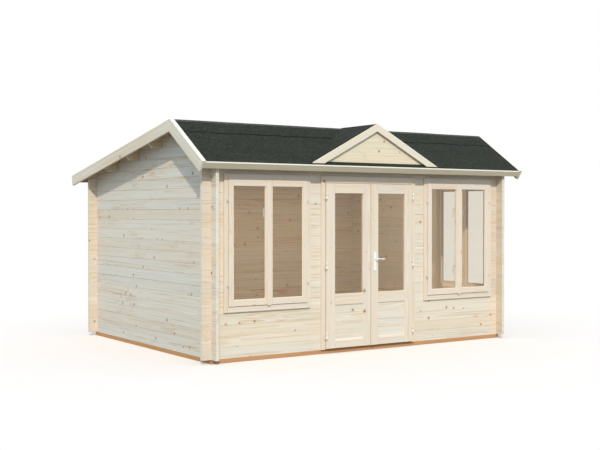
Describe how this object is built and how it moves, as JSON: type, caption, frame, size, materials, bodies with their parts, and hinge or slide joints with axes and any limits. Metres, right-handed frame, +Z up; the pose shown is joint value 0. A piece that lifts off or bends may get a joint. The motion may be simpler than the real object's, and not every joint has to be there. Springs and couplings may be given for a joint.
{
  "type": "garden shed",
  "caption": "Timber garden shed of interlocked logs with a short front slope, a long back slope, a small front gable over glazed double doors, casement windows and a boarded floor.",
  "frame": {"origin": "middle of the shed's plan, on the ground under the bearers", "axes": "+X to the right along the front, +Y from the front to the back, +Z up"},
  "size_m": [4.74, 3.717, 2.6982],
  "materials": {
    "wall_logs": "planed, untreated",
    "joinery": "planed, untreated",
    "roof_trim": "planed, untreated",
    "boarding": "sawn, untreated",
    "panels": "planed, untreated",
    "treated_timber": "sawn, treated",
    "felt": "mineral granules",
    "glass": "clear",
    "hinge_steel": "zinc plated",
    "lock_metal": "satin"
  },
  "bodies": {
    "shed": {"left_wall": "wall_logs", "right_wall": "wall_logs", "back_wall": "wall_logs", "front_wall_left": "wall_logs", "front_wall_right": "wall_logs", "front_wall_head": "wall_logs", "door_jambs": "joinery", "door_head": "joinery", "left_window_frame": "joinery", "left_window_sashes": "joinery", "right_window_frame": "joinery", "right_window_sashes": "joinery", "side_window_frame": "joinery", "side_window_sashes": "joinery", "window_strips": "joinery", "left_bargeboards": "roof_trim", "right_bargeboards": "roof_trim", "barge_caps": "roof_trim", "front_fascia": "roof_trim", "back_fascia": "roof_trim", "dormer_bargeboards": "roof_trim", "floor_boards": "boarding", "roof_boards_front": "boarding", "roof_boards_back": "boarding", "dormer_boards": "boarding", "purlins": "boarding", "dormer_panel": "panels", "long_bearers": "treated_timber", "cross_bearers": "treated_timber", "door_threshold": "treated_timber", "roof_felt_front": "felt", "roof_felt_back": "felt", "dormer_felt": "felt", "left_window_glass": "glass", "right_window_glass": "glass", "side_window_glass": "glass", "door_hinge_pins": "hinge_steel", "window_hinges": "hinge_steel", "window_latches": "lock_metal"},
    "left_door": {"left_door_leaf": "joinery", "left_door_panel": "panels", "left_door_glass": "glass", "left_door_hinges": "hinge_steel"},
    "right_door": {"right_door_leaf": "joinery", "right_door_panel": "panels", "right_door_glass": "glass", "right_door_hinges": "hinge_steel", "door_cover_strip": "joinery", "lock_plates": "lock_metal"},
    "lever": {"lever_handle": "lock_metal"}
  },
  "joints": [
    {"name": "left_door_swing", "type": "hinge", "parent": "shed", "child": "left_door", "pos_m": [-0.6495, -1.6975, 0], "axis": [0, 0, -1], "range_deg": [0, 160]},
    {"name": "right_door_swing", "type": "hinge", "parent": "shed", "child": "right_door", "pos_m": [0.6495, -1.6975, 0], "axis": [0, 0, 1], "range_deg": [0, 160]},
    {"name": "lever_turn", "type": "hinge", "parent": "right_door", "child": "lever", "pos_m": [0.061, -1.6885, 1.09], "axis": [0, 1, 0], "range_deg": [0, 40], "stiffness_Nm_per_rad": 1.2, "springref_deg": -17.19}
  ]
}
